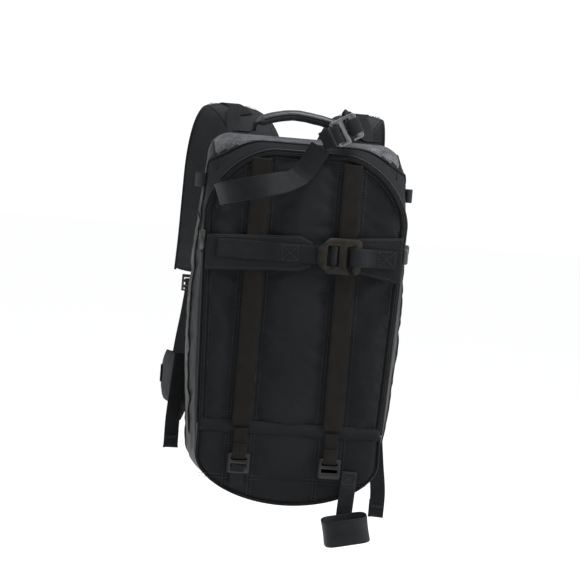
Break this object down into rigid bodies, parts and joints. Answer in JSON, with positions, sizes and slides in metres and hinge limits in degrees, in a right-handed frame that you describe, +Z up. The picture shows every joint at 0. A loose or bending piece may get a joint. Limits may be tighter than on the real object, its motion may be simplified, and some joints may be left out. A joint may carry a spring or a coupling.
{
  "type": "ski backpack",
  "caption": "Ski backpack with a full-front zipped door, a hooked hug strap across it, straps for carrying skis diagonally, a haul handle and a padded harness.",
  "frame": {"origin": "centre of the flat contact face of the middle back pad, where the pack rests on the wearer's back", "axes": "+Z up the back, +Y out of the back panel towards the wearer, -Y out of the front door"},
  "size_m": [0.3382, 0.5459, 0.6002],
  "materials": {
    "side_fabric": "coated woven nylon, satin",
    "front_fabric": "fine plain weave, matt",
    "wing_fabric": "fine plain weave, matt",
    "zip_tape": "coated zip tape with coil teeth",
    "back_plate": "moulded foam board",
    "plastic_sheet": "extruded sheet",
    "stay_metal": "extruded flat bar",
    "back_mesh": "spacer mesh over foam",
    "lining": "light plain lining",
    "buckle_plastic": "fine moulded texture",
    "harness_fabric": "coarse woven nylon over foam",
    "webbing": "ribbed nylon webbing",
    "brown_webbing": "ribbed nylon webbing",
    "elastic": "rubber-coated webbing",
    "handle_cover": "coated fabric over foam",
    "hook_bronze": "anodised, fine satin",
    "hook_aluminium": "satin",
    "slider_metal": "nickel finish"
  },
  "bodies": {
    "pack": {"main_shell": "side_fabric", "lower_front_panel": "front_fabric", "main_zip": "zip_tape", "back_plate": "back_plate", "frame_sheet": "plastic_sheet", "frame_stays": "stay_metal", "upper_back_pad": "back_mesh", "middle_back_pad": "back_mesh", "lower_back_pad": "back_mesh", "tool_sleeve": "lining", "hydration_hanger": "buckle_plastic", "hang_loop": "webbing", "shoulder_strap_left": "harness_fabric", "shoulder_strap_right": "harness_fabric", "shoulder_webbing_left": "webbing", "shoulder_webbing_right": "webbing", "load_lifter_left": "webbing", "load_lifter_right": "webbing", "lower_webbing_left": "webbing", "lower_webbing_right": "webbing", "webbing_tail_left": "webbing", "webbing_tail_right": "webbing", "hip_belt_left": "harness_fabric", "hip_belt_right": "harness_fabric", "hip_webbing_left": "webbing", "hip_webbing_right": "webbing", "hip_buckle_socket": "buckle_plastic", "ski_catch": "webbing", "lower_ski_loop": "elastic", "lower_straps": "brown_webbing", "side_tabs": "webbing", "handle_anchors": "webbing"},
    "door": {"front_panel": "front_fabric", "door_pocket": "lining", "vertical_webbing": "brown_webbing", "left_wing": "wing_fabric", "right_wing": "wing_fabric", "hug_webbing": "webbing", "hug_loop": "webbing", "ski_strap": "webbing", "ski_keeper": "webbing", "ski_hook": "hook_aluminium"},
    "hug_hook": {"hug_hook": "hook_bronze"},
    "zip_left": {"zip_slider_left": "slider_metal"},
    "zip_right": {"zip_slider_right": "slider_metal"},
    "haul_handle": {"haul_handle": "handle_cover"},
    "ladder_lock_left": {"ladder_lock_left": "buckle_plastic"},
    "ladder_lock_right": {"ladder_lock_right": "buckle_plastic"},
    "sternum_strap": {"sternum_webbing_left": "webbing", "sternum_webbing_right": "webbing", "sternum_buckle_socket": "buckle_plastic"},
    "sternum_plug": {"sternum_buckle_plug": "buckle_plastic"},
    "hip_plug": {"hip_buckle_plug": "buckle_plastic"},
    "lower_buckle_left": {"lower_buckle_left": "buckle_plastic"},
    "lower_buckle_right": {"lower_buckle_right": "buckle_plastic"}
  },
  "joints": [
    {"name": "front_panel_open", "type": "hinge", "parent": "pack", "child": "door", "pos_m": [0, -0.1935, -0.145], "axis": [1, 0, 0], "range_deg": [0, 95]},
    {"name": "hug_hook_tilt", "type": "hinge", "parent": "door", "child": "hug_hook", "pos_m": [0.0395, -0.2027, 0.097], "axis": [0, 0, -1], "range_deg": [0, 6]},
    {"name": "zip_slide_left", "type": "slide", "parent": "pack", "child": "zip_left", "axis": [0.0383, 0, -0.9993], "range_m": [0, 0.22]},
    {"name": "zip_slide_right", "type": "slide", "parent": "pack", "child": "zip_right", "axis": [-0.0383, 0, -0.9993], "range_m": [0, 0.22]},
    {"name": "handle_fold", "type": "hinge", "parent": "pack", "child": "haul_handle", "pos_m": [0, -0.1, 0.271], "axis": [-1, 0, 0], "range_deg": [0, 50]},
    {"name": "ladder_lock_tilt_left", "type": "hinge", "parent": "pack", "child": "ladder_lock_left", "pos_m": [-0.1275, 0.1835, 0.037], "axis": [1, 0, 0], "range_deg": [-15, 25]},
    {"name": "ladder_lock_tilt_right", "type": "hinge", "parent": "pack", "child": "ladder_lock_right", "pos_m": [0.1275, 0.1835, 0.037], "axis": [1, 0, 0], "range_deg": [-15, 25]},
    {"name": "sternum_height", "type": "slide", "parent": "pack", "child": "sternum_strap", "axis": [0, 0, 1], "range_m": [-0.025, 0.025]},
    {"name": "sternum_release", "type": "slide", "parent": "sternum_strap", "child": "sternum_plug", "axis": [1, 0, 0], "range_m": [0, 0.0115]},
    {"name": "hip_release", "type": "slide", "parent": "pack", "child": "hip_plug", "axis": [1, 0, 0], "range_m": [0, 0.022]},
    {"name": "lower_buckle_lift_left", "type": "hinge", "parent": "pack", "child": "lower_buckle_left", "pos_m": [-0.0675, -0.1964, -0.1825], "axis": [-1, 0, 0], "range_deg": [0, 70]},
    {"name": "lower_buckle_lift_right", "type": "hinge", "parent": "pack", "child": "lower_buckle_right", "pos_m": [0.0575, -0.1964, -0.1825], "axis": [-1, 0, 0], "range_deg": [0, 70]}
  ]
}
